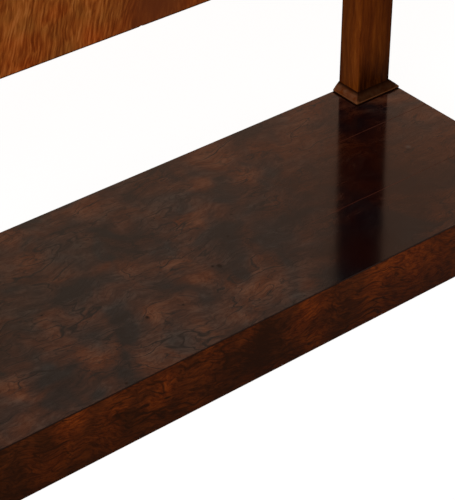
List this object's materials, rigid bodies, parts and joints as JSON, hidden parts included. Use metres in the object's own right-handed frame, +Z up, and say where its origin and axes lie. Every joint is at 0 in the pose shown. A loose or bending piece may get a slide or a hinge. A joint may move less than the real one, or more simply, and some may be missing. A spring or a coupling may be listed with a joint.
{
  "type": "pier table",
  "caption": "Low veneered plinth platform on which square front pillars and flat rear pilasters, with moulded bases and caps, carry a plain veneered frieze and a table top against a wall.",
  "frame": {"origin": "on the floor, under the middle of the box that holds the whole table", "axes": "+X along the length to the right seen from the front, +Y from the front to the wall, +Z up"},
  "size_m": [1.344, 0.475, 0.867],
  "materials": {
    "burr_walnut_veneer": "polished",
    "curly_walnut_veneer": "polished",
    "straight_walnut": "polished",
    "carcass_pine": "bare, aged",
    "screw_iron": "dull"
  },
  "bodies": {
    "root": {"frieze_back_rail": "carcass_pine", "frieze_corner_blocks": "carcass_pine", "frieze_cross_rails": "carcass_pine", "frieze_front_rail": "carcass_pine", "frieze_front_veneer": "curly_walnut_veneer", "frieze_glue_blocks": "carcass_pine", "frieze_left_end_rail": "carcass_pine", "frieze_left_end_veneer": "curly_walnut_veneer", "frieze_right_end_rail": "carcass_pine", "frieze_right_end_veneer": "curly_walnut_veneer", "front_left_pillar": "straight_walnut", "front_left_pillar_base_moulding": "straight_walnut", "front_left_pillar_cap_moulding": "straight_walnut", "front_right_pillar": "straight_walnut", "front_right_pillar_base_moulding": "straight_walnut", "front_right_pillar_cap_moulding": "straight_walnut", "platform_back_board": "carcass_pine", "platform_front_board": "carcass_pine", "platform_middle_board": "carcass_pine", "platform_veneer": "burr_walnut_veneer", "plinth_back_board": "carcass_pine", "plinth_corner_blocks": "carcass_pine", "plinth_cross_bearers": "carcass_pine", "plinth_front_board": "carcass_pine", "plinth_front_veneer": "burr_walnut_veneer", "plinth_glue_blocks": "carcass_pine", "plinth_left_end_board": "carcass_pine", "plinth_left_end_veneer": "burr_walnut_veneer", "plinth_right_end_board": "carcass_pine", "plinth_right_end_veneer": "burr_walnut_veneer", "rear_left_pilaster": "straight_walnut", "rear_left_pilaster_base_moulding": "straight_walnut", "rear_left_pilaster_cap_moulding": "straight_walnut", "rear_right_pilaster": "straight_walnut", "rear_right_pilaster_base_moulding": "straight_walnut", "rear_right_pilaster_cap_moulding": "straight_walnut", "top_back_board": "carcass_pine", "top_front_board": "carcass_pine", "top_front_edging": "straight_walnut", "top_left_edging": "straight_walnut", "top_middle_board": "carcass_pine", "top_right_edging": "straight_walnut", "top_screws": "screw_iron", "top_veneer": "burr_walnut_veneer"}
  },
  "joints": []
}
